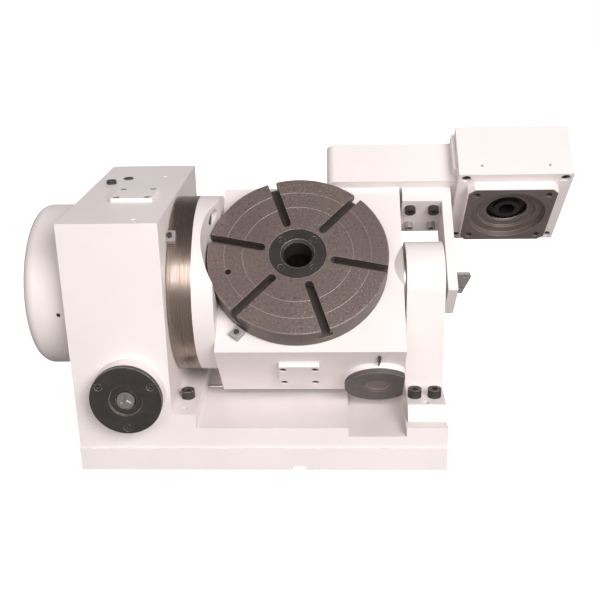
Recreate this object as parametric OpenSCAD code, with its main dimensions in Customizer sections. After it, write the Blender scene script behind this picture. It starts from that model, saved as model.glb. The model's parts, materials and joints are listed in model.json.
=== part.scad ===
// Two-axis rotary table: a round T-slotted table in a cradle that tilts between a
// headstock and a tailstock. Origin: underside of the base, below the table's centre.
// +X runs from headstock to tailstock, +Y to the back, +Z up.

/* [Table] */
// Diameter of the round table
table_d = 250; // [220:5:310]
// Thickness of the round table
table_t = 33.4; // [30:0.2:42]
// Width of a T-slot at the surface
slot_w = 12; // [10:1:14]
// Depth of a T-slot
slot_depth = 20; // [17:1:24]
// Width of a T-slot's undercut
slot_under_w = 20; // [17:1:22]
// Height of a T-slot's undercut
slot_under_h = 8; // [6:0.5:9]
// Number of T-slots
slot_count = 6; // [3:1:8]
// Angle of the first T-slot
slot_angle = -12; // [-30:1:30]
// Distance from the table's axis to the inner end of a T-slot
slot_start = 46; // [45:1:60]
// Diameter of the black centre sleeve
sleeve_d = 80; // [72:1:88]
// Diameter of the centre bore
bore_d = 40; // [34:1:44]

/* [Tilt] */
// Tilt of the table from level
cradle_tilt = 40; // [0:5:90]
// Diameter of the graduated ring and the cradle's flange
ring_d = 249; // [230:1:275]
// Width of the graduated ring
ring_w = 32.5; // [26:0.5:40]
// Thickness of the cradle's round flange
flange_t = 28.5; // [26:0.5:35]
// Gap that the cradle's corner keeps from the base
swing_gap = 5.4; // [3:0.2:8]

/* [Cradle] */
// Distance from the table's edge to the cradle's front and back faces
cradle_margin = 9; // [8:1:16]
// Distance from the tilt axis up to the cradle's top face
cradle_up = 43; // [40:1:50]
// Distance from the tilt axis down to the cradle's bottom face
cradle_down = 79; // [78:1:90]
// Distance from the table's edge to the cradle's tailstock face
cradle_tail_margin = 21; // [18:1:26]
// Radius of the hub round the trunnion
hub_r = 54; // [50:1:58]

/* [Base] */
// Height of the base
base_h = 64; // [55:1:78]
// Distance from the tilt axis to the base's front face
base_front = 142; // [135:1:172]
// Distance from the tilt axis to the base's back face
base_back = 194; // [180:1:230]
// Height of the clamping flange round the foot of the base
foot_flange_h = 34; // [25:1:42]
// Width of the keyway under the base
keyway_w = 18; // [14:1:20]
// Height of the headstock's and tailstock's feet
foot_h = 21; // [17:1:26]

/* [Headstock] */
// Length of the headstock along the tilt axis
head_w = 131; // [125:1:158]
// Wall of the headstock
head_wall = 14; // [11.5:0.5:17]
// Diameter of the drum cover
drum_d = 229; // [215:1:250]
// Depth of the drum cover
drum_w = 66; // [56:0.5:80]

/* [Tailstock] */
// Length of the tailstock along the tilt axis
tail_w = 53.5; // [45:0.5:65]
// Radius of the tailstock's bearing housing
tail_r = 56.6; // [52:0.2:60]
// Diameter of the trunnion
trunnion_d = 56; // [46:1:67]

/* [Drive] */
// Outer radius of both worms
worm_r = 22.4; // [19:0.2:25]
// Outer radius of the table's worm wheel
table_wheel_r = 87; // [84:0.5:88]
// Outer radius of the tilt worm wheel
tilt_wheel_r = 82; // [76:0.5:86]
// Distance from the tilt axis down to the table's worm
worm_down = 37.5; // [36:0.5:40]
// Distance from the motor box's near side to the motor's axis
motor_side = 79; // [75:1:84]
// Distance from the tilt axis up to the motor's axis
motor_up = 6; // [0:1:14]
// Diameter of the motor's pilot recess
pilot_d = 110; // [95:1:114]
// Diameter of the motor's bolt circle
motor_pcd = 144; // [138:1:146]
// Diameter of the motor's shaft
motor_shaft_d = 24; // [19:1:26]
// Radius of the two pulleys
pulley_r = 24; // [22:0.5:26]

/* [Fits] */
// Radial clearance of a shaft in its bearing
run_fit = 0.05; // [0.02:0.01:0.09]
// Gap between parts that pass each other
turn_gap = 0.7; // [0.5:0.1:1.2]

/* [Hidden] */
$fn = 96;

// Overlap that lets one cut run cleanly through a face
cut = 1;

// Cradle and the layout along the tilt axis
table_r = table_d / 2;
relief_depth = 15;
relief_gap = 2.5;
cradle_x0 = relief_depth - table_r;
cradle_x1 = table_r + cradle_tail_margin;
cradle_half = table_r + cradle_margin;
ring_x1 = cradle_x0 - flange_t;
ring_x0 = ring_x1 - ring_w;
ring_r = ring_d / 2;
head_x1 = ring_x0 - turn_gap;
head_x0 = head_x1 - head_w;
tail_gap = 4;
tail_x0 = cradle_x1 + tail_gap;
tail_x1 = tail_x0 + tail_w;
tilt_height = base_h + norm([cradle_half, cradle_down]) + swing_gap;
head_top = tilt_height + ring_r + 5;
foot_top = base_h + foot_h;
table_low = cradle_up + 0.6;
table_top = table_low + table_t;

// Base
foot_flange_out = 3;
keyway_depth = 6;
rib_wall = 16;
base_floor = 14;
foot_w = 32;
foot_blend_r = 8;
bolt_y = -90;
bolt_step = 116;
jack_hole_r = 4.5;
jack_hole_y = -124;

// Table worm and its boss
mesh_gap = 0.6;
table_worm_x = table_wheel_r + worm_r + mesh_gap;
worm_chamber_r = worm_r + 3.6;
boss_r = 46.5;
boss_len = 7.5;
boss_cap_t = 7.5;
boss_front = cradle_half + boss_len + boss_cap_t;
boss_plug_r = 18.6;
notch_gap = 3;
notch_side = 5;
boss_low = norm([boss_front, worm_down + boss_r]);
notch_floor = tilt_height - boss_low - notch_gap;
notch_back = 62;

// Tilt worm and its boss
tilt_worm_x = (head_x0 + head_x1) / 2 + 11;
tilt_worm_z = tilt_height - tilt_wheel_r - worm_r - mesh_gap;
head_boss_r = 48.5;
head_boss_len = 20;
head_cover_t = 8;
worm_shaft_r = 12;
worm_bearing_r = worm_chamber_r;
worm_bearing_w = 16;
worm_pitch = 8;
worm_len = 80;

// Spindle of the tilt axis
main_journal_r = 60;
main_bearing_r = 85;
main_bearing_w = 25;
seal_r = 67;
seal_w = 8;
wheel_w = 36;
wheel_seat_r = 50;
rear_journal_r = 40;
rear_bearing_r = 54;
rear_bearing_w = 18;
carrier_r = 92;
spindle_bore_r = 24;
spindle_flange_r = 94;
brake_r = 86;
brake_t = 6;

// Spindle of the table
top_journal_r = 55;
top_bearing_r = 80;
top_bearing_w = 24;
wheel_chamber_r = table_wheel_r + 8;
table_wheel_w = 30;
table_wheel_seat_r = 45;
low_journal_r = 40;
low_bearing_r = 55;
low_bearing_w = 15;
end_float = 0.1;
cover_plate_t = 8;
bottom_cover_r = wheel_chamber_r + 10;
sleeve_t = 7;
bore_lead = 3.5;
sleeve_tube_r = bore_d / 2 + 6;

// Arm that ties the far end of the trunnion to the belt housing
arm_foot_x0 = tail_x0;
arm_foot_t = 24;
arm_foot_w0 = -35;
arm_foot_w1 = 42;
arm_gap = 3.5;
arm_x0 = tail_x1 + arm_gap;
arm_t = 13.5;
arm_x1 = arm_x0 + arm_t;
arm_front = 39;
arm_w0 = -26;
arm_w1 = 41;
trunnion_r = trunnion_d / 2;
trunnion_flange_r = 50;
trunnion_flange_t = 3;
trunnion_thread_r = 18;
tail_bearing_r = trunnion_r + 14;
hub_len = 13;
nut_r = 24;
nut_depth = 8;

// Belt drive behind the cradle
belt_x0 = 40;
belt_x1 = arm_x1 + 7.5;
belt_v0 = cradle_half;
belt_v1 = cradle_half + 64;
shell_t = 7;
belt_t = 3;
belt_gap = 0.35;
belt_w0 = -(worm_down + pulley_r + belt_gap + belt_t + shell_t + 1);
belt_w1 = 58;
belt_edge_r = 12;
rear_cover_t = 5;
rear_head_h = 3.2;
motor_x = belt_x1 + motor_side;
motor_box_x1 = belt_x1 + 162;
motor_box_v0 = cradle_half - 12;
motor_box_v1 = cradle_half + 70;
motor_box_w0 = -76.5;
motor_box_w1 = 88;
motor_wall_t = 26;
pad_size = 129;
pad_corner = 9;
pad_t = 14;
pilot_depth = 8;
pulley_v0 = cradle_half + 20;
pulley_w = 20;
motor_bearing_r = 33;
hub_r_motor = 20;

// Small parts
plate_t = 7.5;
cover_size = [58, 60, 6];
ring_index_angle = 47;
index_angle = 233;
index_reach = table_r + 10;
drum_screw_in = 17.5;
drum_screw_angles = [-2.5, 117.5, 237.5];
thread_angle = 197;
thread_depth = 18;
flange_bolt_angles = [63, 243, 303];
flange_bolt_r = 106;
sleeve_screw_r = (sleeve_d + bore_d) / 4 + 1.5;
pipe_y = -14;
pipe_r = 3;
pipe_end_x = 42;

// ---- helpers ----

// Cylinder along X about the tilt axis
module along_x(x0, x1, r, y = 0, z = tilt_height) {
    translate([x0, y, z]) rotate([0, 90, 0]) cylinder(h = x1 - x0, r = r);
}

// Cylinder along Y
module along_y(x, z, y0, y1, r) {
    translate([x, y0, z]) rotate([-90, 0, 0]) cylinder(h = y1 - y0, r = r);
}

// Box from its lowest and highest corners
module block(low, high) {
    translate(low) cube(high - low);
}

// Turns what is drawn about the tilt axis into the tilted cradle's place
module in_cradle() {
    translate([0, 0, tilt_height]) rotate([cradle_tilt, 0, 0]) children();
}

// Rectangle with round corners
module round_rect(w, h, r) {
    for (x = [-1, 1], y = [-1, 1]) {
        translate([x * (w / 2 - r), y * (h / 2 - r)]) circle(r = r, $fn = 32);
    }
    square([w - 2 * r, h], center = true);
    square([w, h - 2 * r], center = true);
}

// Socket head screw: head from z = 0 up, shank below
module cap_screw(head_r, head_h, shank_r, shank_len) {
    difference() {
        union() {
            cylinder(h = head_h, r = head_r, $fn = 40);
            translate([0, 0, -shank_len]) cylinder(h = shank_len + 0.01, r = shank_r, $fn = 32);
        }
        translate([0, 0, head_h * 0.4]) cylinder(h = head_h, r = head_r * 0.55, $fn = 6);
    }
}

// Ball bearing: two races and the balls' ring as one body
module bearing(r_in, r_out, w) {
    groove = (r_out - r_in) * 0.22;
    difference() {
        cylinder(h = w, r = r_out);
        translate([0, 0, -cut]) cylinder(h = w + 2 * cut, r = r_in);
        for (z = [-cut, w - w * 0.12]) {
            translate([0, 0, z]) difference() {
                cylinder(h = w * 0.12 + cut, r = r_out - groove);
                translate([0, 0, -cut]) cylinder(h = w + 2 * cut, r = r_in + groove);
            }
        }
    }
}

// Wheel with worm teeth round its rim
module worm_wheel(r_out, r_in, w, teeth) {
    tooth_h = 3;
    difference() {
        linear_extrude(w) union() {
            circle(r = r_out - tooth_h);
            for (i = [0 : teeth - 1]) {
                rotate(i * 360 / teeth) translate([r_out - tooth_h - 1, 0])
                    polygon([[0, -2.6], [tooth_h + 1, -1.1], [tooth_h + 1, 1.1], [0, 2.6]]);
            }
        }
        translate([0, 0, -cut]) cylinder(h = w + 2 * cut, r = r_in);
        for (z = [-cut, w - 5]) {
            translate([0, 0, z]) difference() {
                cylinder(h = 5 + cut, r = r_out - 12);
                translate([0, 0, -cut]) cylinder(h = w, r = r_in + 10);
            }
        }
    }
}

// Shaft with a worm at the middle of its length, drawn along Z from z0 to z1
module worm_shaft(z0, z1, shaft_r) {
    root_r = worm_r - 4;
    turns = worm_len / worm_pitch;
    rotate_extrude() polygon(concat(
        [[0, z0], [shaft_r, z0], [shaft_r, -worm_len / 2 - 6], [root_r, -worm_len / 2 - 6]],
        [for (i = [0 : turns - 1]) let (z = -worm_len / 2 + i * worm_pitch)
            each [[root_r, z + 1], [worm_r, z + 3], [worm_r, z + 5], [root_r, z + 7]]],
        [[root_r, worm_len / 2 + 6], [shaft_r, worm_len / 2 + 6], [shaft_r, z1], [0, z1]]));
}

// Toothed belt pulley, drawn along Z from z = 0
module belt_pulley(w, bore_r) {
    teeth = 36;
    difference() {
        union() {
            cylinder(h = w, r = pulley_r - 1.5);
            for (z = [0, w - 1.5]) translate([0, 0, z]) cylinder(h = 1.5, r = pulley_r + 1.5);
            linear_extrude(w) for (i = [0 : teeth - 1]) {
                rotate(i * 360 / teeth) translate([pulley_r - 2.5, -1.2]) square([2.5, 2.4]);
            }
        }
        translate([0, 0, -cut]) cylinder(h = w + 2 * cut, r = bore_r);
        translate([0, 0, w - 5]) difference() {
            cylinder(h = 5 + cut, r = pulley_r - 5);
            translate([0, 0, -cut]) cylinder(h = w, r = bore_r + 4);
        }
    }
}

// ---- base ----

// Where the worm boss swings below the top of the base
module boss_notch() {
    block([table_worm_x - boss_r + notch_side, -base_front - foot_flange_out - cut, notch_floor],
        [tail_x0 - 3, notch_back, base_h + cut]);
}

module base_casting() {
    x0 = head_x0;
    x1 = tail_x1;
    color("whitesmoke") difference() {
        union() {
            block([x0, -base_front, 0], [x1, base_back, base_h]);
            block([x0, -base_front - foot_flange_out, 0],
                [x1, base_back + foot_flange_out, foot_flange_h]);
        }
        boss_notch();
        // Pockets between the ribs under the base
        for (span = [[x0 + rib_wall, -rib_wall - keyway_w / 2], [rib_wall + keyway_w / 2, x1 - rib_wall]]) {
            block([span[0], -base_front + rib_wall, -cut],
                [span[1], base_back - rib_wall, notch_floor - base_floor]);
        }
        block([-keyway_w / 2, -base_front - 2 * foot_flange_out, -cut],
            [keyway_w / 2, base_back + 2 * foot_flange_out, keyway_depth]);
        // Threads for the feet's bolts
        for (i = [0 : 2]) {
            translate([head_x1 + foot_w / 2 - 1, bolt_y + i * bolt_step, base_h - 22])
                cylinder(h = 22 + cut, r = 6, $fn = 40);
        }
        for (x = [tail_x0 + 11.5, tail_x1 - 14.5], y = [-88, 88]) {
            translate([x, y, base_h - 12]) cylinder(h = 12 + cut, r = 6, $fn = 40);
        }
        // Groove for the oil pipe
        along_x(head_x1 + foot_w - cut, pipe_end_x, pipe_r, pipe_y, base_h);
    }
}

module oil_pipe() {
    color("silver") along_x(head_x1 + foot_w, pipe_end_x, pipe_r, pipe_y, base_h);
}

// ---- headstock ----

module foot_holes(x, ys, jack) {
    for (y = ys) {
        translate([x, y, base_h - cut]) cylinder(h = foot_h + 2 * cut, r = 6.6, $fn = 40);
    }
    translate([x, jack, base_h - cut]) cylinder(h = foot_h + 2 * cut, r = jack_hole_r, $fn = 40);
}

module headstock_housing() {
    wall_x1 = head_x1 - seal_w - main_bearing_w - 2;
    color("whitesmoke") difference() {
        union() {
            block([head_x0, -base_front, base_h], [head_x1, base_back, head_top]);
            block([head_x1 - cut, -base_front, base_h], [head_x1 + foot_w, base_back, foot_top]);
            // Blend between the foot and the side wall
            difference() {
                block([head_x1 - cut, -base_front, foot_top - cut],
                    [head_x1 + foot_blend_r, base_back, foot_top + foot_blend_r]);
                translate([head_x1 + foot_blend_r, -base_front - cut, foot_top + foot_blend_r])
                    rotate([-90, 0, 0])
                    cylinder(h = base_front + base_back + 2 * cut, r = foot_blend_r, $fn = 64);
            }
            along_y(tilt_worm_x, tilt_worm_z, -base_front - head_boss_len, -base_front + cut,
                head_boss_r);
        }
        // Hollow with the worm wheel
        block([head_x0 + head_wall, -base_front + head_wall, base_h + head_wall],
            [wall_x1, base_back - head_wall, head_top - head_wall]);
        // Openings for the spindle
        along_x(head_x0 - cut, head_x0 + head_wall + cut, carrier_r);
        along_x(wall_x1 - cut, head_x1 - seal_w, main_bearing_r);
        along_x(head_x1 - seal_w - cut, head_x1 + cut, seal_r);
        // Bore for the tilt worm
        along_y(tilt_worm_x, tilt_worm_z, -base_front - head_boss_len - cut,
            base_back - 2, worm_bearing_r);
        // Screw holes and ports in the roof
        for (p = cover_screw_places()) {
            translate([p.x, p.y, head_top - 12]) cylinder(h = 12 + cut, r = 2.5, $fn = 32);
        }
        for (p = port_places()) {
            translate([p.x, p.y, head_top - head_wall - cut])
                cylinder(h = head_wall + 2 * cut, r = 7, $fn = 40);
        }
        for (p = painted_plug_places()) {
            translate([p.x, p.y, head_top - 5]) cylinder(h = 5 + cut, r = 3.5, $fn = 32);
        }
        for (p = worm_cover_screw_places()) {
            along_y(p.x, p.y, -base_front - head_boss_len - cut, -base_front - 4, 2.5);
        }
        // Window that the inspection cover closes
        block([cover_centre().x - 18, cover_centre().y - 16, head_top - head_wall - cut],
            [cover_centre().x + 18, cover_centre().y + 16, head_top + cut]);
        foot_holes(head_x1 + foot_w / 2 - 1, [for (i = [0 : 2]) bolt_y + i * bolt_step], jack_hole_y);
    }
}

function cover_centre() = [head_x0 + 76, -7];
function cover_screw_places() = [for (x = [-21, 21], y = [-23, 23]) cover_centre() + [x, y]];
function port_places() = [[head_x0 + 24, 74], [head_x0 + 43, 104]];
function painted_plug_places() = [for (y = [-122, 118]) [head_x1 - 35, y]];
function worm_cover_screw_places() = [for (a = [-90, 30, 150])
    [tilt_worm_x + 40 * cos(a), tilt_worm_z + 40 * sin(a)]];

module headstock_bolts() {
    color("dimgray") for (i = [0 : 2]) {
        translate([head_x1 + foot_w / 2 - 1, bolt_y + i * bolt_step, foot_top])
            cap_screw(9.5, 12, 6, foot_h + 20);
    }
}

module inspection_cover() {
    color("white") translate([cover_centre().x, cover_centre().y, head_top]) difference() {
        linear_extrude(cover_size.z) round_rect(cover_size.x, cover_size.y, 2);
        for (x = [-21, 21], y = [-23, 23]) {
            translate([x, y, -cut]) cylinder(h = cover_size.z + 2 * cut, r = 3, $fn = 32);
            translate([x, y, 1.5]) cylinder(h = cover_size.z, r = 5, $fn = 32);
        }
    }
}

module port_plugs() {
    color("black") {
        translate([port_places()[0].x, port_places()[0].y, head_top - 8]) difference() {
            union() {
                cylinder(h = 8, r = 7, $fn = 40);
                translate([0, 0, 8]) cylinder(h = 5, r = 7.2, $fn = 40);
            }
            translate([0, 0, 10]) cylinder(h = 4, r = 4.5, $fn = 6);
        }
        translate([port_places()[1].x, port_places()[1].y, head_top - 10]) difference() {
            union() {
                cylinder(h = 10, r = 7, $fn = 40);
                translate([0, 0, 10]) cylinder(h = 1.5, r = 7.2, $fn = 40);
            }
            translate([0, 0, 6]) cylinder(h = 6, r = 4, $fn = 6);
        }
    }
}

module painted_plugs() {
    color("white") for (p = painted_plug_places()) {
        translate([p.x, p.y, head_top - 5]) cylinder(h = 6, r = 3.5, $fn = 32);
    }
}

module base_small_screws() {
    color("dimgray") {
        for (p = cover_screw_places()) {
            translate([p.x, p.y, head_top + 1.5]) cap_screw(4.5, 4, 2.5, 12);
        }
        for (p = worm_cover_screw_places()) {
            translate([p.x, -base_front - head_boss_len - head_cover_t + 5, p.y])
                rotate([90, 0, 0]) cap_screw(4.5, 4.5, 2.5, 16);
        }
        vernier_frame() translate([0, 0, 9]) cap_screw(3.5, 3.5, 2, 6);
        // Set screws round the drum cover's mouth
        for (a = drum_screw_angles) {
            rotate_at_axis(a) translate([head_x0 - drum_screw_in, 0, drum_d / 2 - 5])
                cylinder(h = 4, r = 3, $fn = 32);
        }
    }
}

// Turns children about the tilt axis, from straight up, towards the front by 90 - a
module rotate_at_axis(a) {
    translate([0, 0, tilt_height]) rotate([90 - a, 0, 0]) children();
}

// Frame on the rim beside the graduated ring, with +Z pointing outwards
module vernier_frame() {
    rotate_at_axis(ring_index_angle) translate([head_x1 + 5, 0, ring_r + turn_gap]) children();
}

module vernier_block() {
    color("dimgray") vernier_frame() difference() {
        block([-5, -8, 0], [7, 8, 9]);
        translate([0, 0, 3]) cylinder(h = 10, r = 2, $fn = 32);
    }
}

module drum_cover() {
    r = drum_d / 2;
    wall = 5;
    edge = 16;
    arc = [for (a = [0 : 9 : 90]) [r - edge + edge * cos(a), drum_w - edge + edge * sin(a)]];
    inner = [for (a = [90 : -9 : 0])
        [r - edge + (edge - wall) * cos(a), drum_w - edge + (edge - wall) * sin(a)]];
    color("whitesmoke") difference() {
        translate([head_x0, 0, tilt_height]) rotate([0, -90, 0]) rotate_extrude() polygon(concat(
            [[r, 0]], arc, [[0, drum_w], [0, drum_w - wall]], inner, [[r - wall, 0]]));
        for (a = drum_screw_angles) {
            rotate_at_axis(a) translate([head_x0 - drum_screw_in, 0, r - 8])
                cylinder(h = 9, r = 3, $fn = 32);
        }
    }
}

module main_bearing() {
    color("silver") translate([head_x1 - seal_w - main_bearing_w, 0, tilt_height])
        rotate([0, 90, 0]) bearing(main_journal_r + run_fit, main_bearing_r, main_bearing_w);
}

module rear_bearing() {
    color("silver") translate([head_x0 + 2, 0, tilt_height])
        rotate([0, 90, 0]) bearing(rear_journal_r + run_fit, rear_bearing_r, rear_bearing_w);
}

module rear_bearing_carrier() {
    color("gray") difference() {
        union() {
            along_x(head_x0, head_x0 + head_wall, carrier_r);
            along_x(head_x0, head_x0 + rear_bearing_w + 4, rear_bearing_r + 8);
        }
        along_x(head_x0 + 2, head_x0 + rear_bearing_w + 4 + cut, rear_bearing_r);
        along_x(head_x0 - cut, head_x0 + 3, rear_journal_r + 3);
        for (a = [0 : 60 : 300]) rotate_at_axis(a) {
            translate([head_x0 - cut, 0, carrier_r - 9]) rotate([0, 90, 0])
                cylinder(h = head_wall + 2 * cut, r = 3.5, $fn = 32);
        }
    }
}

module spindle_oil_seal() {
    color([0.15, 0.15, 0.15]) difference() {
        along_x(head_x1 - seal_w, head_x1, seal_r);
        along_x(head_x1 - seal_w - cut, head_x1 + cut, main_journal_r + 0.4);
    }
}

module brake_ring() {
    color("gray") difference() {
        along_x(head_x0 - 14, head_x0, brake_r + 8);
        along_x(head_x0 - 14 - cut, head_x0 + cut, rear_journal_r + 16);
    }
}

module tilt_worm_bearings() {
    color("silver") for (y = [-base_front - 6, base_back - worm_bearing_w - 2]) {
        translate([tilt_worm_x, y, tilt_worm_z]) rotate([-90, 0, 0])
            bearing(worm_shaft_r + run_fit, worm_bearing_r, worm_bearing_w);
    }
}

module tilt_worm_cover() {
    face = -base_front - head_boss_len;
    color([0.1, 0.1, 0.1]) difference() {
        along_y(tilt_worm_x, tilt_worm_z, face - head_cover_t, face, head_boss_r);
        along_y(tilt_worm_x, tilt_worm_z, face - head_cover_t - cut, face - head_cover_t + 3, 22);
        along_y(tilt_worm_x, tilt_worm_z, face - head_cover_t - cut, face + cut, worm_shaft_r + 1.5);
        for (p = worm_cover_screw_places()) {
            along_y(p.x, p.y, face - head_cover_t - cut, face - 3, 5.2);
            along_y(p.x, p.y, face - head_cover_t - cut, face + cut, 3);
        }
    }
}

module tilt_worm_shaft() {
    face = -base_front - head_boss_len - head_cover_t;
    color("silver") difference() {
        translate([tilt_worm_x, 0, tilt_worm_z]) rotate([-90, 0, 0])
            worm_shaft(face + 1.5, base_back - 6, worm_shaft_r);
        // Three-way recess for the setting key
        for (a = [90, 210, 330]) {
            translate([tilt_worm_x, face + 4.5, tilt_worm_z]) rotate([90, 0, 0]) rotate(a)
                translate([0, -1.6, 0]) cube([8.5, 3.2, 5]);
        }
    }
}

// ---- tailstock ----

module tailstock_housing() {
    slope = 12;
    reach = 113;
    color("whitesmoke") difference() {
        union() {
            along_x(tail_x0, tail_x1, tail_r);
            block([tail_x0, -tail_r, base_h], [tail_x1, tail_r, tilt_height]);
            translate([tail_x0, 0, 0]) rotate([90, 0, 90]) linear_extrude(tail_w)
                polygon([[-reach - slope, base_h], [reach + slope, base_h],
                    [reach, foot_top], [-reach, foot_top]]);
        }
        along_x(tail_x0 + 8, tail_x1 - 8, tail_bearing_r);
        along_x(tail_x0 - cut, tail_x1 + cut, trunnion_r + 2);
        for (x = [tail_x0 + 11.5, tail_x1 - 14.5], y = [-88, 88]) {
            translate([x, y, base_h - cut]) cylinder(h = foot_h + 2 * cut, r = 6.6, $fn = 40);
        }
        for (y = [-106, 106]) {
            translate([tail_x0 + 26, y, base_h - cut])
                cylinder(h = foot_h + 2 * cut, r = jack_hole_r, $fn = 40);
        }
    }
}

module tailstock_bearing() {
    color("silver") translate([tail_x0 + 8, 0, tilt_height]) rotate([0, 90, 0])
        bearing(trunnion_r + run_fit, tail_bearing_r, tail_w - 16);
}

module tailstock_bolts() {
    color("dimgray") for (x = [tail_x0 + 11.5, tail_x1 - 14.5], y = [-88, 88]) {
        translate([x, y, foot_top]) cap_screw(9.5, 12, 6, foot_h + 10);
    }
}

// ---- tilting cradle ----

module tilt_spindle() {
    wheel_x1 = tilt_worm_x + wheel_w / 2;
    color("silver") difference() {
        union() {
            along_x(wheel_x1, ring_x0, main_journal_r);
            along_x(wheel_x1 - wheel_w, wheel_x1 + cut, wheel_seat_r);
            along_x(head_x0 - 34, wheel_x1 - wheel_w + cut, rear_journal_r);
            along_x(ring_x0 + 0.3, ring_x1, spindle_flange_r);
            along_x(ring_x0 - cut, ring_x0 + 1, main_journal_r);
        }
        along_x(head_x0 - 34 - cut, ring_x1 + cut, spindle_bore_r);
    }
}

module tilt_worm_wheel() {
    color("peru") translate([tilt_worm_x - wheel_w / 2, 0, tilt_height]) rotate([0, 90, 0])
        worm_wheel(tilt_wheel_r, wheel_seat_r, wheel_w, 90);
}

module spindle_lock_nut() {
    color("dimgray") difference() {
        along_x(head_x0 - 33, head_x0 - 21, rear_journal_r + 10);
        along_x(head_x0 - 33 - cut, head_x0 - 21 + cut, rear_journal_r);
        for (a = [0 : 90 : 270]) rotate_at_axis(a) {
            block([head_x0 - 33 - cut, -4, rear_journal_r + 6], [head_x0 - 20, 4, rear_journal_r + 12]);
        }
    }
}

module brake_disc() {
    color("silver") difference() {
        along_x(head_x0 - 14.5 - brake_t, head_x0 - 14.5, brake_r);
        along_x(head_x0 - 22, head_x0 - 13, rear_journal_r);
    }
}

module graduated_ring() {
    color("tan") difference() {
        along_x(ring_x0, ring_x1, ring_r);
        along_x(ring_x0 - cut, ring_x1 + cut, spindle_flange_r);
        // Graduation lines on the rim, one each five degrees
        for (a = [0 : 5 : 355]) rotate_at_axis(a) {
            block([ring_x0 - cut, -0.25, ring_r - 0.4],
                [ring_x0 + (a % 15 == 0 ? 8 : 5), 0.25, ring_r + cut]);
        }
    }
}

// Turns children about the tilt axis inside the cradle's frame, from +v towards +w
module round_flange(a) {
    rotate([a - 90, 0, 0]) children();
}

module cradle_casting() {
    top = cradle_up;
    low = -cradle_down;
    color("whitesmoke") in_cradle() difference() {
        union() {
            block([cradle_x0 - cut, -cradle_half, low], [cradle_x1, cradle_half, top]);
            translate([ring_x1, 0, 0]) rotate([0, 90, 0]) cylinder(h = flange_t, r = ring_r);
            translate([cradle_x1 - hub_len, 0, 0]) rotate([0, 90, 0])
                cylinder(h = hub_len, r1 = cradle_up - 1, r2 = hub_r);
            translate([table_worm_x, 0, -worm_down]) rotate([90, 0, 0])
                cylinder(h = cradle_half + boss_len, r = boss_r);
            // Pad behind the index block
            translate([plate_x(), -cradle_half + cut, plate_w()]) rotate([90, 0, 0])
                linear_extrude(cut + 0.5) round_rect(60, 64, 3);
        }
        // Room for the table to turn in the flange
        translate([0, 0, top]) cylinder(h = ring_r, r = table_r + relief_gap);
        // The boss ends at the side face
        block([cradle_x1, -boss_front - cut, low - boss_r],
            [cradle_x1 + boss_r, cradle_half + cut, top + hub_r]);
        // Wheel chamber, bearing seats and the worm's bore
        translate([0, 0, low - cut]) cylinder(h = cradle_down - 10 + cut, r = wheel_chamber_r);
        translate([0, 0, low - cut]) cylinder(h = cover_plate_t + cut, r = bottom_cover_r);
        translate([0, 0, low]) cylinder(h = cradle_down + top + cut, r = top_journal_r + 7);
        translate([0, 0, top - top_bearing_w - 4])
            cylinder(h = top_bearing_w + 4 + cut, r = top_bearing_r);
        translate([table_worm_x, cradle_half + cut, -worm_down]) rotate([90, 0, 0])
            cylinder(h = 2 * cradle_half + boss_len + 2 * cut, r = worm_chamber_r);
        // Bore for the trunnion's spigot
        translate([cradle_x1 - 6, 0, 0]) rotate([0, 90, 0]) cylinder(h = 6 + cut, r = trunnion_r + 2);
        // Bolts into the spindle
        for (a = flange_bolt_angles) round_flange(a) {
            translate([ring_x1 - cut, 0, flange_bolt_r]) rotate([0, 90, 0])
                cylinder(h = flange_t + 2 * cut, r = 7, $fn = 40);
            translate([ring_x1 + 8, 0, flange_bolt_r]) rotate([0, 90, 0])
                cylinder(h = flange_t, r = 11.5, $fn = 40);
        }
        for (p = front_screw_places()) {
            translate([p.x, -cradle_half - 2, p.y]) rotate([-90, 0, 0]) cylinder(h = 14, r = 2.5, $fn = 32);
        }
        translate([table_worm_x, -cradle_half - 3, -worm_down + boss_r - 5])
            cylinder(h = 8, r = 1.3, $fn = 32);
    }
}

function plate_x() = 1;
function plate_w() = -18;
function front_screw_places() = [for (x = [-21.8, 21.8], w = [-20.5, 20.5])
    [plate_x() + x, plate_w() + w]];

module cradle_flange_bolts() {
    color("dimgray") in_cradle() for (a = flange_bolt_angles) round_flange(a) {
        translate([ring_x1 + 8, 0, flange_bolt_r]) rotate([0, 90, 0]) cap_screw(9.5, 10, 6, 8);
    }
}

module front_cover_plate() {
    color("white") in_cradle() difference() {
        translate([plate_x(), -cradle_half - 0.5, plate_w()]) rotate([90, 0, 0])
            linear_extrude(plate_t - 0.5) round_rect(56, 60, 3);
        for (p = front_screw_places()) {
            translate([p.x, -cradle_half - 2 * plate_t, p.y]) rotate([-90, 0, 0]) {
                cylinder(h = 3 * plate_t, r = 3, $fn = 32);
                cylinder(h = 2 * plate_t - 2, r = 5.2, $fn = 32);
            }
        }
    }
}

module index_frame() {
    in_cradle() rotate(index_angle) translate([index_reach, 0, cradle_up]) children();
}

module index_block() {
    color("gray") index_frame() difference() {
        block([-8, -7.5, 0], [8, 7.5, 8]);
        translate([0, 0, 3]) cylinder(h = 6, r = 2, $fn = 32);
    }
}

module cradle_small_screws() {
    color("dimgray") {
        in_cradle() for (p = front_screw_places()) {
            translate([p.x, -cradle_half - 2, p.y]) rotate([90, 0, 0]) cap_screw(4.8, 4, 2.5, 12);
        }
        index_frame() translate([0, 0, 8]) cap_screw(3.6, 3, 2, 5);
        in_cradle() for (p = rear_screw_places()) {
            translate([p[0], p[1] + rear_cover_t - rear_head_h, p[2]]) rotate([-90, 0, 0])
                cap_screw(3.5, 3, 2, 8);
        }
    }
}

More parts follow.
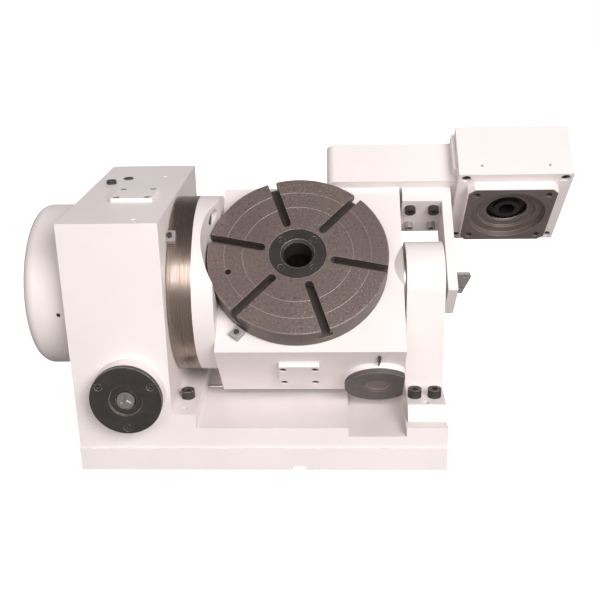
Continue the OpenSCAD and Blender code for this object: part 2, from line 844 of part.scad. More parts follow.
// The boss's end faces share this outline, cut off at the cradle's side
module boss_outline(r) {
    intersection() {
        circle(r = r);
        translate([-2 * boss_r, -2 * boss_r])
            square([2 * boss_r + cradle_x1 - table_worm_x, 4 * boss_r]);
    }
}

module worm_boss_cap() {
    color([0.25, 0.24, 0.24]) in_cradle() difference() {
        translate([table_worm_x, -cradle_half - boss_len, -worm_down]) rotate([90, 0, 0])
            linear_extrude(boss_cap_t) boss_outline(boss_r);
        translate([table_worm_x, -cradle_half - boss_len - 3, -worm_down + 2]) rotate([90, 0, 0])
            cylinder(h = boss_cap_t, r = boss_plug_r);
    }
}

module worm_boss_plug() {
    color("sienna") in_cradle()
        translate([table_worm_x, -cradle_half - boss_len - 3, -worm_down + 2]) rotate([90, 0, 0])
        difference() {
            cylinder(h = 3, r = boss_plug_r);
            translate([0, 0, 1.5]) cylinder(h = 2, r = boss_plug_r - 4);
        }
}

module vent_nipple() {
    color([0.1, 0.1, 0.1]) in_cradle()
        translate([table_worm_x, -cradle_half - 3, -worm_down + boss_r - 5]) {
            cylinder(h = 15 + cut, r = 1.3, $fn = 32);
            translate([0, 0, 15]) cylinder(h = 13, r = 2.4, $fn = 32);
            translate([0, 0, 28]) sphere(r = 2.4, $fn = 32);
        }
}

module table_bearing() {
    color("silver") in_cradle() translate([0, 0, cradle_up - top_bearing_w - 4])
        bearing(top_journal_r + run_fit, top_bearing_r, top_bearing_w);
}

module lower_table_bearing() {
    color("silver") in_cradle() translate([0, 0, -cradle_down + cover_plate_t])
        bearing(low_journal_r + run_fit, low_bearing_r, low_bearing_w);
}

module bottom_cover() {
    color("gray") in_cradle() translate([0, 0, -cradle_down]) difference() {
        union() {
            cylinder(h = cover_plate_t, r = bottom_cover_r);
            cylinder(h = cover_plate_t + low_bearing_w, r = low_bearing_r + 8);
        }
        translate([0, 0, cover_plate_t]) cylinder(h = low_bearing_w + cut, r = low_bearing_r);
        translate([0, 0, -cut]) cylinder(h = cover_plate_t + 2 * cut, r = bore_d / 2 + 1);
        for (a = [22.5 : 45 : 359]) rotate(a) {
            translate([bottom_cover_r - 7, 0, -cut])
                cylinder(h = cover_plate_t + 2 * cut, r = 2.7, $fn = 32);
        }
    }
}

module table_worm_bearings() {
    color("silver") in_cradle() for (v = [-cradle_half + 2, cradle_half - worm_bearing_w]) {
        translate([table_worm_x, v, -worm_down]) rotate([-90, 0, 0])
            bearing(worm_shaft_r + run_fit, worm_bearing_r, worm_bearing_w);
    }
}

// ---- belt drive ----

module belt_housing() {
    color("whitesmoke") in_cradle() difference() {
        belt_outline(belt_v0, belt_v1);
        block([belt_x0 + shell_t, belt_v0 + shell_t, belt_w0 + shell_t],
            [belt_x1 + cut, belt_v1 + cut, belt_w1 - shell_t]);
        translate([table_worm_x, belt_v0 - cut, -worm_down]) rotate([-90, 0, 0])
            cylinder(h = shell_t + 2 * cut, r = worm_shaft_r + 4);
        for (p = arm_screw_places()) {
            translate([p.x, belt_v0 - cut, p.y]) rotate([-90, 0, 0])
                cylinder(h = shell_t + 2 * cut, r = 4.2, $fn = 32);
        }
        belt_cover_screw_holes();
    }
}

// Body of the belt housing, with round edges at its free end
module belt_outline(v0, v1) {
    r = belt_edge_r;
    translate([0, v1, 0]) rotate([90, 0, 0]) linear_extrude(v1 - v0) {
        for (w = [belt_w0 + r, belt_w1 - r]) translate([belt_x0 + r, w]) circle(r = r);
        translate([belt_x0 + r, belt_w0]) square([belt_x1 - belt_x0 - r, belt_w1 - belt_w0]);
        translate([belt_x0, belt_w0 + r]) square([r + 1, belt_w1 - belt_w0 - 2 * r]);
    }
}

function belt_screw_places() = [for (x = [belt_x0 + 14, (belt_x0 + belt_x1) / 2, belt_x1 - 8],
    w = [belt_w0 + 4.5, belt_w1 - 4.5]) [x, belt_v1, w]];
function motor_cover_screw_places() = [for (x = [belt_x1 + 22, motor_box_x1 - 22],
    w = [motor_box_w0 + 4.5, motor_box_w1 - 4.5]) [x, motor_box_v1, w]];
function rear_screw_places() = concat(belt_screw_places(), motor_cover_screw_places());

module belt_cover_screw_holes() {
    for (p = rear_screw_places()) {
        translate([p[0], p[1] - 8, p[2]]) rotate([-90, 0, 0]) cylinder(h = 20, r = 2.1, $fn = 32);
        translate([p[0], p[1] + rear_cover_t - rear_head_h, p[2]]) rotate([-90, 0, 0])
            cylinder(h = rear_cover_t, r = 3.8, $fn = 32);
    }
}

module belt_rear_cover() {
    color("whitesmoke") in_cradle() difference() {
        belt_outline(belt_v1, belt_v1 + rear_cover_t);
        belt_cover_screw_holes();
    }
}

module motor_box() {
    wall = shell_t;
    color("whitesmoke") in_cradle() difference() {
        union() {
            block([belt_x1, motor_box_v0, motor_box_w0], [motor_box_x1, motor_box_v1, motor_box_w1]);
            // Lip over the end of the belt housing
            block([belt_x1 - 5.5, motor_box_v0 + 20, belt_w1],
                [belt_x1 + cut, motor_box_v1, motor_box_w1 - 12]);
        }
        block([belt_x1 + wall, motor_box_v0 + motor_wall_t, motor_box_w0 + wall],
            [motor_box_x1 - wall, motor_box_v1 + cut, motor_box_w1 - wall]);
        // The belt comes in through this window
        block([belt_x1 - cut, pulley_v0 - 6, belt_w0 + shell_t + 4],
            [belt_x1 + wall + cut, motor_box_v1 - wall, belt_w1 - shell_t]);
        translate([motor_x, motor_box_v0 - cut, motor_up]) rotate([-90, 0, 0])
            cylinder(h = motor_wall_t + 2 * cut, r = motor_bearing_r);
        // Counterbored screws at the corners
        for (p = motor_corner_places()) {
            translate([p.x, motor_box_v0 - cut, p.y]) rotate([-90, 0, 0])
                cylinder(h = 12 + cut, r = 7, $fn = 40);
        }
        for (x = [-48, 48]) {
            translate([motor_x + 2 + x, motor_box_v0 + 16, motor_box_w1 - 9])
                cylinder(h = 9 + cut, r = 2, $fn = 32);
        }
        belt_cover_screw_holes();
    }
}

function motor_corner_places() = [for (x = [belt_x1 + 11, motor_box_x1 - 11],
    w = [motor_box_w0 + 11, motor_box_w1 - 10]) [x, w]];

module motor_rear_cover() {
    color("whitesmoke") in_cradle() difference() {
        block([belt_x1 + 0.3, motor_box_v1, motor_box_w0],
            [motor_box_x1, motor_box_v1 + rear_cover_t, motor_box_w1]);
        belt_cover_screw_holes();
    }
}

module motor_box_screws() {
    color("dimgray") in_cradle() for (p = motor_corner_places()) {
        translate([p.x, motor_box_v0 + 12, p.y]) rotate([90, 0, 0]) cap_screw(6.5, 8, 4, 0.01);
    }
}

module motor_flange() {
    half = pad_size / 2;
    c = pad_corner;
    color([0.2, 0.17, 0.15]) in_cradle() translate([motor_x, motor_box_v0, motor_up]) rotate([90, 0, 0])
        difference() {
            linear_extrude(pad_t) polygon([[c - half, -half], [half - c, -half],
                [half, c - half], [half, half - c], [half - c, half], [c - half, half],
                [-half, half - c], [-half, c - half]]);
            translate([0, 0, pad_t - pilot_depth]) cylinder(h = pilot_depth + cut, r = pilot_d / 2);
            translate([0, 0, pad_t - pilot_depth - 4]) cylinder(h = pilot_depth, r = motor_bearing_r + 9);
            translate([0, 0, -cut]) cylinder(h = pad_t + 2 * cut, r = motor_bearing_r - 3);
            for (a = [45 : 90 : 315]) rotate(a) translate([motor_pcd / 2, 0, -cut])
                cylinder(h = pad_t + 2 * cut, r = 5, $fn = 40);
        }
}

module motor_side_bearing() {
    color("silver") in_cradle() translate([motor_x, motor_box_v0 + 3, motor_up]) rotate([-90, 0, 0])
        bearing(hub_r_motor + run_fit, motor_bearing_r, motor_wall_t - 8);
}

module drive_pulley() {
    color("gainsboro") in_cradle() translate([motor_x, 0, motor_up]) difference() {
        union() {
            translate([0, pulley_v0, 0]) rotate([-90, 0, 0]) belt_pulley(pulley_w, motor_shaft_d / 2);
            translate([0, motor_box_v0 - 2, 0]) rotate([-90, 0, 0])
                cylinder(h = pulley_v0 - motor_box_v0 + 2.5, r = hub_r_motor);
        }
        translate([0, motor_box_v0 - 10, 0]) rotate([-90, 0, 0]) cylinder(h = 90, r = motor_shaft_d / 2);
    }
}

module driven_pulley() {
    color("gainsboro") in_cradle() translate([table_worm_x, pulley_v0, -worm_down])
        rotate([-90, 0, 0]) belt_pulley(pulley_w, worm_shaft_r);
}

module timing_belt() {
    inner = pulley_r + belt_gap;
    from = [table_worm_x, -worm_down];
    to = [motor_x, motor_up];
    span = norm(to - from);
    lean = atan2(to.y - from.y, to.x - from.x);
    color([0.12, 0.12, 0.12]) in_cradle() translate([from.x, pulley_v0 + pulley_w - 2.5, from.y])
        rotate([90, 0, 0]) rotate(lean) linear_extrude(pulley_w - 5) difference() {
            belt_loop(span, inner + belt_t);
            belt_loop(span, inner);
        }
}

module belt_loop(span, r) {
    circle(r = r);
    translate([span, 0]) circle(r = r);
    translate([0, -r]) square([span, 2 * r]);
}

module table_worm_shaft() {
    color("silver") in_cradle() translate([table_worm_x, 0, -worm_down]) rotate([-90, 0, 0])
        worm_shaft(-cradle_half - boss_len + 1, pulley_v0 + pulley_w + 6, worm_shaft_r);
}

// ---- arm and trunnion ----

function arm_screw_places() = [for (x = [12, 46], w = [-15, 24.5]) [arm_foot_x0 + x, w]];

module arm_bracket() {
    front = belt_v0 - arm_foot_t;
    color("whitesmoke") in_cradle() difference() {
        union() {
            block([arm_foot_x0, front, arm_foot_w0], [arm_x1, belt_v0, arm_foot_w1]);
            block([arm_x0, -arm_front, arm_w0], [arm_x1, belt_v0, arm_w1]);
        }
        translate([arm_x0 - cut, 0, 0]) rotate([0, 90, 0])
            cylinder(h = arm_t + 2 * cut, r = trunnion_thread_r);
        translate([arm_x1 - nut_depth, 0, 0]) rotate([0, 90, 0])
            cylinder(h = nut_depth + cut, r = nut_r);
        for (p = arm_screw_places()) {
            translate([p.x, front - cut, p.y]) rotate([-90, 0, 0])
                cylinder(h = arm_foot_t + 2 * cut, r = 4.2, $fn = 32);
        }
    }
}

module arm_bracket_screws() {
    color("black") in_cradle() for (p = arm_screw_places()) if (p.y > 0) {
        translate([p.x, belt_v0 - arm_foot_t, p.y]) rotate([90, 0, 0])
            cap_screw(8, 8, 4, arm_foot_t + shell_t - 1);
    }
}

module arm_bracket_long_screws() {
    color("silver") in_cradle() for (p = arm_screw_places()) if (p.y < 0) {
        translate([p.x, belt_v0 - arm_foot_t, p.y]) rotate([90, 0, 0])
            cap_screw(6.5, 10, 4, arm_foot_t + shell_t - 1);
    }
}

module trunnion_shaft() {
    color("silver") in_cradle() rotate([0, 90, 0]) {
        translate([0, 0, cradle_x1 - 6]) cylinder(h = 6 + cut, r = trunnion_r + 2);
        translate([0, 0, cradle_x1]) cylinder(h = trunnion_flange_t, r = trunnion_flange_r);
        translate([0, 0, cradle_x1]) cylinder(h = arm_x0 - cradle_x1, r = trunnion_r);
        translate([0, 0, arm_x0 - cut]) cylinder(h = arm_t - 1 + cut, r = trunnion_thread_r);
    }
}

module trunnion_nut() {
    nut_h = nut_depth - 1;
    color("dimgray") in_cradle() translate([arm_x1 - nut_depth, 0, 0]) rotate([0, 90, 0]) difference() {
        cylinder(h = nut_h, r = nut_r);
        translate([0, 0, -cut]) cylinder(h = nut_h + 2 * cut, r = trunnion_thread_r);
        // Slots for a pin wrench
        for (a = [45 : 90 : 315]) rotate(a) {
            block([trunnion_thread_r + 3, -2, nut_h - 3], [nut_r + cut, 2, nut_h + cut]);
        }
    }
}

module hose_bracket() {
    half_t = 2;
    color("darkgray") in_cradle() difference() {
        translate([arm_x1, half_t, 0]) rotate([90, 0, 0]) linear_extrude(2 * half_t)
            polygon([[0, -33], [16, -33], [23.6, 13], [21, 21], [0, 21]]);
        for (p = [[14.5, 14.5], [12, -16.7]]) {
            translate([arm_x1 + p.x, -half_t - cut, p.y]) rotate([-90, 0, 0])
                cylinder(h = 2 * (half_t + cut), r = 2.6, $fn = 32);
        }
    }
}

// ---- table ----

// Straight slot from the middle of its round end out past the rim
module slot_shape(width) {
    circle(r = width / 2, $fn = 48);
    translate([0, -width / 2]) square([table_r - slot_start + cut, width]);
}

module t_slot() {
    translate([slot_start + slot_w / 2, 0, table_top - slot_depth]) {
        linear_extrude(slot_depth + cut) slot_shape(slot_w);
        linear_extrude(slot_under_h) slot_shape(slot_under_w);
    }
}

module faceplate() {
    r = table_r;
    bevel = 1;
    color([0.36, 0.32, 0.31]) in_cradle() difference() {
        rotate_extrude($fn = 180) polygon([[0, table_low], [r - bevel, table_low], [r, table_low + bevel],
            [r, table_top - bevel], [r - bevel, table_top], [0, table_top]]);
        translate([0, 0, table_top - sleeve_t]) cylinder(h = sleeve_t + cut, r = sleeve_d / 2);
        translate([0, 0, table_low - cut]) cylinder(h = table_t, r = sleeve_tube_r);
        for (i = [0 : slot_count - 1]) rotate(slot_angle + i * 360 / slot_count) t_slot();
        // Reference circles engraved in the face
        for (f = [0.61, 0.81]) {
            translate([0, 0, table_top - 0.4]) difference() {
                cylinder(h = 1, r = f * table_r + 0.4, $fn = 180);
                translate([0, 0, -cut]) cylinder(h = 3, r = f * table_r - 0.4, $fn = 180);
            }
        }
        rotate(thread_angle) translate([0.79 * table_r, 0, table_top - thread_depth])
            cylinder(h = thread_depth + cut, r = 4.2, $fn = 40);
    }
}

module centre_sleeve() {
    color([0.08, 0.08, 0.08]) in_cradle() difference() {
        union() {
            translate([0, 0, table_top - sleeve_t]) cylinder(h = sleeve_t, r = sleeve_d / 2);
            translate([0, 0, table_low]) cylinder(h = table_t - sleeve_t + cut, r = sleeve_tube_r);
        }
        translate([0, 0, table_low - cut]) cylinder(h = table_t + 2 * cut, r = bore_d / 2);
        translate([0, 0, table_top - bore_lead])
            cylinder(h = bore_lead + cut, r1 = bore_d / 2, r2 = bore_d / 2 + bore_lead + cut);
        for (a = [45 : 90 : 315]) rotate(a) translate([sleeve_screw_r, 0, 0]) {
            translate([0, 0, table_top - 5]) cylinder(h = 5 + cut, r = 4.6, $fn = 32);
            translate([0, 0, table_top - sleeve_t - cut]) cylinder(h = sleeve_t, r = 2.6, $fn = 32);
        }
    }
}

module sleeve_screws() {
    color("dimgray") in_cradle() for (a = [45 : 90 : 315]) rotate(a) {
        translate([sleeve_screw_r, 0, table_top - 5]) cap_screw(4.2, 4, 2.5, 2);
    }
}

module table_spindle() {
    seat = -cradle_down + cover_plate_t;
    shoulder = cradle_up - top_bearing_w - 4;
    wheel_top = -worm_down + table_wheel_w / 2;
    color("silver") in_cradle() difference() {
        union() {
            translate([0, 0, shoulder - end_float - cut])
                cylinder(h = table_low - shoulder + end_float + cut, r = top_journal_r);
            translate([0, 0, wheel_top])
                cylinder(h = shoulder - end_float - wheel_top, r = top_journal_r + 5);
            translate([0, 0, seat + low_bearing_w + end_float])
                cylinder(h = wheel_top - seat - low_bearing_w - end_float + cut, r = table_wheel_seat_r);
            translate([0, 0, seat + 1]) cylinder(h = low_bearing_w, r = low_journal_r);
        }
        translate([0, 0, seat - cut]) cylinder(h = table_low - seat + 2 * cut, r = bore_d / 2 + 1);
    }
}

module table_worm_wheel() {
    color("peru") in_cradle() translate([0, 0, -worm_down - table_wheel_w / 2])
        worm_wheel(table_wheel_r, table_wheel_seat_r, table_wheel_w, 90);
}

base_casting();
headstock_housing();
headstock_bolts();
inspection_cover();
port_plugs();
painted_plugs();
base_small_screws();
drum_cover();
main_bearing();
rear_bearing();
rear_bearing_carrier();
spindle_oil_seal();
brake_ring();
tilt_worm_bearings();
tilt_worm_cover();
vernier_block();
tailstock_housing();
tailstock_bearing();
tailstock_bolts();
oil_pipe();
tilt_worm_shaft();
tilt_spindle();
tilt_worm_wheel();
spindle_lock_nut();
brake_disc();
graduated_ring();
cradle_casting();
cradle_flange_bolts();
front_cover_plate();
cradle_small_screws();
index_block();
worm_boss_cap();
worm_boss_plug();
vent_nipple();
belt_housing();
belt_rear_cover();
motor_box();
motor_rear_cover();
motor_flange();
motor_box_screws();
arm_bracket();
arm_bracket_screws();
arm_bracket_long_screws();
trunnion_shaft();
trunnion_nut();
hose_bracket();
table_bearing();
lower_table_bearing();
bottom_cover();
table_worm_bearings();
motor_side_bearing();
timing_belt();
faceplate();
centre_sleeve();
sleeve_screws();
table_spindle();
table_worm_wheel();
table_worm_shaft();
driven_pulley();
drive_pulley();
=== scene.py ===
"""Looks of the two-axis rotary table: rounded castings, machined faces and their finishes."""

import json
from math import atan2, cos, pi, radians, sin

import bmesh
import bpy
from mathutils import Matrix, Vector


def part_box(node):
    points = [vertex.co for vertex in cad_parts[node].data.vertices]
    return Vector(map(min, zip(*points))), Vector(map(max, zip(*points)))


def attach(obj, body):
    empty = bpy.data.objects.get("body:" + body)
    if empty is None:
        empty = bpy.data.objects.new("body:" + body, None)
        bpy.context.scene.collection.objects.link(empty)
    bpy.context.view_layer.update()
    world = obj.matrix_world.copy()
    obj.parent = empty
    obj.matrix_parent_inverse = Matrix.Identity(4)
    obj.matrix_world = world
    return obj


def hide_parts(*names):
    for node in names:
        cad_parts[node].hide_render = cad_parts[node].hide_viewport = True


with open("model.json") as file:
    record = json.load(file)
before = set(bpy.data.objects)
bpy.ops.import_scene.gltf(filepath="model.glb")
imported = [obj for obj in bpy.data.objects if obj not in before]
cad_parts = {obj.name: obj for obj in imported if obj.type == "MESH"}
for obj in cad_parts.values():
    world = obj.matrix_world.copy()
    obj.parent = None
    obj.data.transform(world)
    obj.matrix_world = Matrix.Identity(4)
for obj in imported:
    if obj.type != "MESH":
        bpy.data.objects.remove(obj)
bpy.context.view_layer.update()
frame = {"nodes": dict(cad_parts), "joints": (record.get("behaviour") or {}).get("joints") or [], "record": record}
nodes = frame["nodes"]
bodies = frame["record"]["behaviour"]["bodies"]
body_of = {node: body for body, members in bodies.items() for node in members}
slot_of = {part["node"]: part["material_slot"] for part in frame["record"]["subparts"]}
joints = {joint["name"]: joint for joint in frame["joints"]}

# The tilt axis runs along X through this point, and the cradle leans back by this angle
TILT_POINT = Vector(joints["tilt"]["pos_m"])
TABLE_AXIS = Vector(joints["table_spin"]["axis"])
LEAN = atan2(-TABLE_AXIS.y, TABLE_AXIS.z)
TURN_TO_CRADLE = Matrix.Rotation(LEAN, 4, "X")
TO_CRADLE = Matrix.Translation(TILT_POINT) @ TURN_TO_CRADLE
# Height of the table's face above the tilt axis
TABLE_TOP = (Vector(joints["table_spin"]["pos_m"]) - TILT_POINT).length
MM = 0.001


# ---- camera ----

CAMERA_LENS = 54.05
CAMERA_SENSOR = 36
CAMERA_PLACE = (0.04975, -1.22468, 0.6622)
# Degrees below level, degrees to the right of straight ahead, and degrees of roll
CAMERA_DOWN, CAMERA_ASIDE, CAMERA_ROLL = 20.799, -2.327, 1.135


def set_camera():
    """Camera at the front, a little above the machine, turned slightly to the left."""
    data = bpy.data.cameras.new("camera")
    data.lens = CAMERA_LENS
    data.sensor_width = CAMERA_SENSOR
    camera = bpy.data.objects.new("camera", data)
    bpy.context.scene.collection.objects.link(camera)
    down, aside, roll = radians(CAMERA_DOWN), radians(CAMERA_ASIDE), radians(CAMERA_ROLL)
    ahead = Vector((sin(aside) * cos(down), cos(aside) * cos(down), -sin(down)))
    level_right = Vector((cos(aside), -sin(aside), 0))
    level_down = ahead.cross(level_right)
    right = cos(roll) * level_right + sin(roll) * level_down
    lower = -sin(roll) * level_right + cos(roll) * level_down
    turn = Matrix((right, -lower, -ahead)).transposed().to_4x4()
    camera.matrix_world = Matrix.Translation(CAMERA_PLACE) @ turn
    bpy.context.scene.camera = camera


set_camera()


# ---- node helpers ----

def feed(tree, node, values):
    """Links a socket, or sets a plain value, on each named input."""
    for key, value in values.items():
        if isinstance(value, bpy.types.NodeSocket):
            tree.links.new(value, node.inputs[key])
        else:
            node.inputs[key].default_value = value
    return node


def add(tree, kind, values=None, **settings):
    node = tree.nodes.new("ShaderNode" + kind)
    for key, value in settings.items():
        setattr(node, key, value)
    return feed(tree, node, values or {})


def calc(tree, operation, a, b=0.0, clamp=False):
    return add(tree, "Math", {0: a, 1: b}, operation=operation, use_clamp=clamp).outputs[0]


def spread(tree, value, low, high, new_low=0.0, new_high=1.0):
    """Value from low to high, stretched to new_low to new_high and held there beyond."""
    return add(tree, "MapRange", {"Value": value, "From Min": low, "From Max": high,
                                  "To Min": new_low, "To Max": new_high}).outputs[0]


def blend(tree, factor, a, b):
    return add(tree, "Mix", {0: factor, 6: a, 7: b}, data_type="RGBA").outputs[2]


def noise(tree, vector, scale, detail=3.0, roughness=0.55):
    return add(tree, "TexNoise", {"Vector": vector, "Scale": scale, "Detail": detail,
                                  "Roughness": roughness}).outputs["Fac"]


def tint(tree, base, mask, strength, colour):
    """Base with a colour laid over it where the mask is high, at most by the strength."""
    return blend(tree, calc(tree, "MULTIPLY", mask, strength), base, colour)


def lighter(colour, factor):
    return tuple(value * factor for value in colour[:3]) + (1,)


# ---- light and floor ----

LIGHT_AIM = (0.04, 0, 0.2)
# Name, direction from the machine, distance, side, power, colour, and whether gloss shows it
SOFT_LIGHTS = (
    ("key_light", (0.42, -0.78, 0.5), 2.6, 1.3, 61, (1, 0.975, 0.965), True),
    ("front_card", (-0.17, -0.86, 0.5), 2.8, 1.2, 20, (1, 0.96, 0.965), True),
    ("fill_light", (-0.75, -0.55, 0.3), 2.8, 1.8, 6, (1, 0.965, 0.98), False),
    ("back_light", (0.2, 0.5, 0.9), 2.4, 1.6, 10, (1, 0.98, 0.97), False),
    ("rear_fill", (-0.35, 0.85, 0.35), 2.8, 1.8, 20, (1, 0.97, 0.97), False),
)
# The room is pale low down and dark above, and turns from one to the other between these heights
ROOM_LOW, ROOM_HIGH = (0.92, 0.88, 0.87, 1), (0.16, 0.145, 0.14, 1)
ROOM_TURN_START, ROOM_TURN_END = 0.12, 0.62
ROOM_STRENGTH = 0.46
BACKDROP_COLOUR = (1, 0.995, 0.995, 1)
FLOOR_REACH = 30
FLOOR_SEEN, FLOOR_LIT = (0.9, 0.89, 0.89, 1), (0.3, 0.285, 0.28, 1)
FLOOR_GLOW = 0.9


def soft_light(name, direction, distance, side, power, colour, in_gloss):
    """Square soft box that faces the middle of the machine."""
    data = bpy.data.lights.new(name, "AREA")
    data.shape = "SQUARE"
    data.size = side
    data.energy = power
    data.color = colour
    light = bpy.data.objects.new(name, data)
    bpy.context.scene.collection.objects.link(light)
    way = Vector(direction).normalized()
    light.location = Vector(LIGHT_AIM) + way * distance
    light.rotation_euler = way.to_track_quat("Z", "Y").to_euler()
    light.visible_glossy = in_gloss


def set_room():
    """Room that lights the machine, and the plain pale backdrop that the eye sees in its place."""
    world = bpy.data.worlds.new("room")
    bpy.context.scene.world = world
    world.use_nodes = True
    tree = world.node_tree
    way = add(tree, "TexCoord").outputs["Generated"]
    height = add(tree, "SeparateXYZ", {0: way}).outputs["Z"]
    above = spread(tree, height, ROOM_TURN_START, ROOM_TURN_END)
    room = feed(tree, tree.nodes["Background"],
                {"Color": blend(tree, above, ROOM_LOW, ROOM_HIGH), "Strength": ROOM_STRENGTH})
    backdrop = add(tree, "Background", {"Color": BACKDROP_COLOUR})
    seen = add(tree, "LightPath").outputs["Is Camera Ray"]
    both = add(tree, "MixShader", {0: seen, 1: room.outputs[0], 2: backdrop.outputs[0]})
    tree.links.new(both.outputs[0], tree.nodes["World Output"].inputs["Surface"])
    bpy.context.scene.view_settings.view_transform = "Standard"


def set_floor():
    """Plain floor, pale to the eye, that throws little light back up at the machine."""
    bm = bmesh.new()
    bmesh.ops.create_grid(bm, x_segments=1, y_segments=1, size=FLOOR_REACH)
    mesh = bpy.data.meshes.new("floor")
    bm.to_mesh(mesh)
    bm.free()
    floor = bpy.data.objects.new("floor", mesh)
    bpy.context.scene.collection.objects.link(floor)
    material = bpy.data.materials.new("pale_floor")
    material.use_nodes = True
    tree = material.node_tree
    seen = add(tree, "LightPath").outputs["Is Camera Ray"]
    feed(tree, tree.nodes["Principled BSDF"],
         {"Base Color": blend(tree, seen, FLOOR_LIT, FLOOR_SEEN),
          "Roughness": 0.9, "Specular IOR Level": 0.1, "Emission Color": (1, 0.99, 0.99, 1),
          "Emission Strength": calc(tree, "MULTIPLY", seen, FLOOR_GLOW)})
    mesh.materials.append(material)


for values in SOFT_LIGHTS:
    soft_light(*values)
set_room()
set_floor()


# ---- shared effects ----

def new_group(name, inputs, outputs):
    """Empty group: its tree, the sockets it takes and the node it gives its results to."""
    tree = bpy.data.node_groups.new(name, "ShaderNodeTree")
    for label, kind, value in inputs:
        socket = tree.interface.new_socket(name=label, in_out="INPUT", socket_type=kind)
        if kind == "NodeSocketFloat":
            socket.default_value = value
    for label in outputs:
        tree.interface.new_socket(name=label, in_out="OUTPUT", socket_type="NodeSocketFloat")
    return tree, tree.nodes.new("NodeGroupInput").outputs, tree.nodes.new("NodeGroupOutput")


def place_group(tree, group, values):
    node = tree.nodes.new("ShaderNodeGroup")
    node.node_tree = group
    return feed(tree, node, values).outputs


NUMBER, ARROW = "NodeSocketFloat", "NodeSocketVector"


def build_edge_wear():
    """Rubbed edges: the rounded edges' own mask, broken up by noise."""
    tree, take, give = new_group("edge_wear", [("Vector", ARROW, None), ("Scale", NUMBER, 90.0),
                                               ("Amount", NUMBER, 0.5)], ["Mask"])
    edge = add(tree, "Attribute", attribute_name="edge").outputs["Fac"]
    patch = noise(tree, take["Vector"], take["Scale"], 4.0, 0.65)
    cover = calc(tree, "SUBTRACT", 1.0, take["Amount"])
    over = calc(tree, "SUBTRACT", patch, calc(tree, "MULTIPLY", cover, 0.7))
    rubbed = spread(tree, over, 0.0, 0.22)
    feed(tree, give, {"Mask": calc(tree, "MULTIPLY", edge, rubbed)})
    return tree


def build_mottle():
    """Slow colour change over a large face, with a finer one inside it."""
    tree, take, give = new_group("mottle", [("Vector", ARROW, None), ("Scale", NUMBER, 7.0)],
                                 ["Broad", "Fine"])
    broad = noise(tree, take["Vector"], take["Scale"], 3.0, 0.6)
    fine = noise(tree, take["Vector"], calc(tree, "MULTIPLY", take["Scale"], 9.0), 5.0, 0.7)
    feed(tree, give, {"Broad": spread(tree, broad, 0.3, 0.7), "Fine": spread(tree, fine, 0.3, 0.7)})
    return tree


def build_peel():
    """Height of brushed and sprayed paint on a filled casting."""
    tree, take, give = new_group("paint_peel", [("Vector", ARROW, None), ("Scale", NUMBER, 320.0)],
                                 ["Height"])
    peel = noise(tree, take["Vector"], take["Scale"], 2.0, 0.5)
    waves = noise(tree, take["Vector"], calc(tree, "MULTIPLY", take["Scale"], 0.11), 2.0, 0.5)
    feed(tree, give, {"Height": calc(tree, "ADD", calc(tree, "MULTIPLY", peel, 0.35), waves)})
    return tree


def build_turned():
    """Fine lines round the local Z axis, as a lathe leaves them on faces and rims."""
    tree, take, give = new_group("turned_lines", [("Vector", ARROW, None),
                                                  ("Pitch", NUMBER, 900.0)], ["Lines", "Height"])
    parts = add(tree, "SeparateXYZ", {0: take["Vector"]}).outputs
    radius = calc(tree, "SQRT", calc(tree, "ADD", calc(tree, "MULTIPLY", parts[0], parts[0]),
                                     calc(tree, "MULTIPLY", parts[1], parts[1])))
    angle = calc(tree, "ARCTAN2", parts[1], parts[0])
    track = add(tree, "CombineXYZ", {0: calc(tree, "MULTIPLY", radius, take["Pitch"]),
                                     1: calc(tree, "MULTIPLY", parts[2], take["Pitch"]),
                                     2: calc(tree, "MULTIPLY", angle, 0.9)}).outputs[0]
    lines = noise(tree, track, 1.0, 4.0, 0.7)
    feed(tree, give, {"Lines": spread(tree, lines, 0.3, 0.7), "Height": lines})
    return tree


def build_speckle():
    """Bright flecks and small pits on an old ground face."""
    tree, take, give = new_group("speckle", [("Vector", ARROW, None), ("Scale", NUMBER, 420.0),
                                             ("Density", NUMBER, 0.5)], ["Flecks", "Pits"])
    flecks = noise(tree, take["Vector"], take["Scale"], 2.0, 0.6)
    limit = calc(tree, "SUBTRACT", 0.78, calc(tree, "MULTIPLY", take["Density"], 0.3))
    bright = spread(tree, calc(tree, "SUBTRACT", flecks, limit), 0.0, 0.06)
    pits = noise(tree, take["Vector"], calc(tree, "MULTIPLY", take["Scale"], 0.55), 3.0, 0.6)
    feed(tree, give, {"Flecks": bright, "Pits": spread(tree, pits, 0.56, 0.7)})
    return tree


EDGE_WEAR = build_edge_wear()
MOTTLE = build_mottle()
PEEL = build_peel()
TURNED = build_turned()
SPECKLE = build_speckle()


# ---- materials ----

def start_material(name, roughness, metallic=0.0):
    """Material with its shader and the Object coordinates that its patterns read."""
    material = bpy.data.materials.new(name)
    material.use_nodes = True
    tree = material.node_tree
    shader = tree.nodes["Principled BSDF"]
    feed(tree, shader, {"Roughness": roughness, "Metallic": metallic})
    where = tree.nodes.new("ShaderNodeTexCoord").outputs["Object"]
    return material, tree, shader, where


def bump(tree, shader, height, distance, strength=1.0):
    node = add(tree, "Bump", {"Height": height, "Distance": distance, "Strength": strength})
    tree.links.new(node.outputs[0], shader.inputs["Normal"])


def turned_to(tree, where, matrix):
    """Coordinates seen from a part's own frame, whose local Z is the axis it turns about."""
    back = matrix.inverted()
    return add(tree, "Mapping", {0: where, 1: back.to_translation(), 2: back.to_euler()}).outputs[0]


